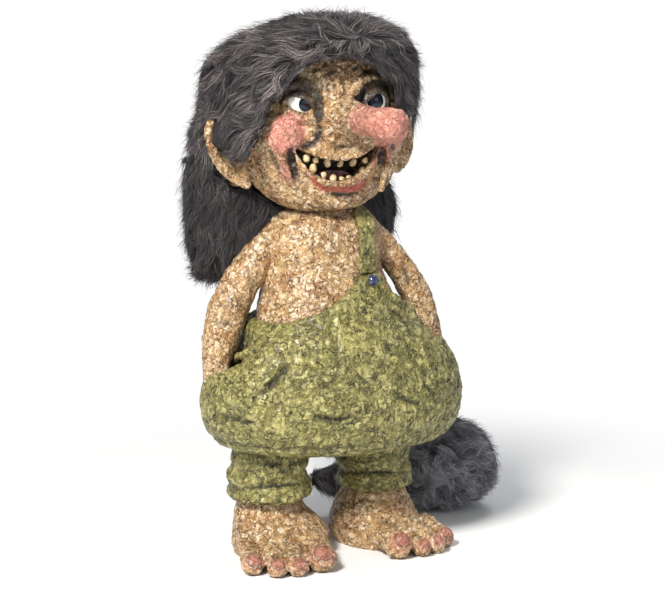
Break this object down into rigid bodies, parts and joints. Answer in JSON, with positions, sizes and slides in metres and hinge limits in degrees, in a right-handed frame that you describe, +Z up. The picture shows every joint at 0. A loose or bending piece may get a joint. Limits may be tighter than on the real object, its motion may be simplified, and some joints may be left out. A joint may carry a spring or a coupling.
{
  "type": "folk troll figure",
  "caption": "Standing folk troll figure with a long nose, fur wig, puffed one-strap trousers, hands in the pockets, bare feet and a tufted tail.",
  "frame": {"origin": "on the floor, at the middle of the figure's footprint", "axes": "+Z up, -Y the way the troll faces, +X towards its left hand"},
  "size_m": [0.1926, 0.1592, 0.297],
  "materials": {
    "skin": "crumpled cast skin, tan paint with a dark wash in the creases and a satin varnish",
    "trouser_paint": "crumpled cast cloth, olive paint with a dark wash and a satin varnish",
    "eye_glass": "polished glass with a painted iris",
    "teeth": "yellowed, satin",
    "tongue": "painted, glossy",
    "wig_fur": "long charcoal fur on its hide",
    "tuft_fur": "fine grey fur on its hide",
    "tail_hide": "bare hide, matt",
    "wire": "plain drawn wire",
    "button": "dark blue, polished",
    "dowel_wood": "plain beech"
  },
  "bodies": {
    "root": {"head": "skin", "torso": "skin", "right_arm": "skin", "left_arm": "skin", "right_foot": "skin", "left_foot": "skin", "trousers": "trouser_paint", "right_trouser_leg": "trouser_paint", "left_trouser_leg": "trouser_paint", "shoulder_strap": "trouser_paint", "right_eye": "eye_glass", "left_eye": "eye_glass", "upper_teeth": "teeth", "lower_teeth": "teeth", "tongue": "tongue", "wig_crown": "wig_fur", "wig_mane": "wig_fur", "tail_tuft": "tuft_fur", "tail": "tail_hide", "tail_wire": "wire", "strap_button": "button", "neck_dowel": "dowel_wood", "right_leg_dowel": "dowel_wood", "left_leg_dowel": "dowel_wood"}
  },
  "joints": []
}
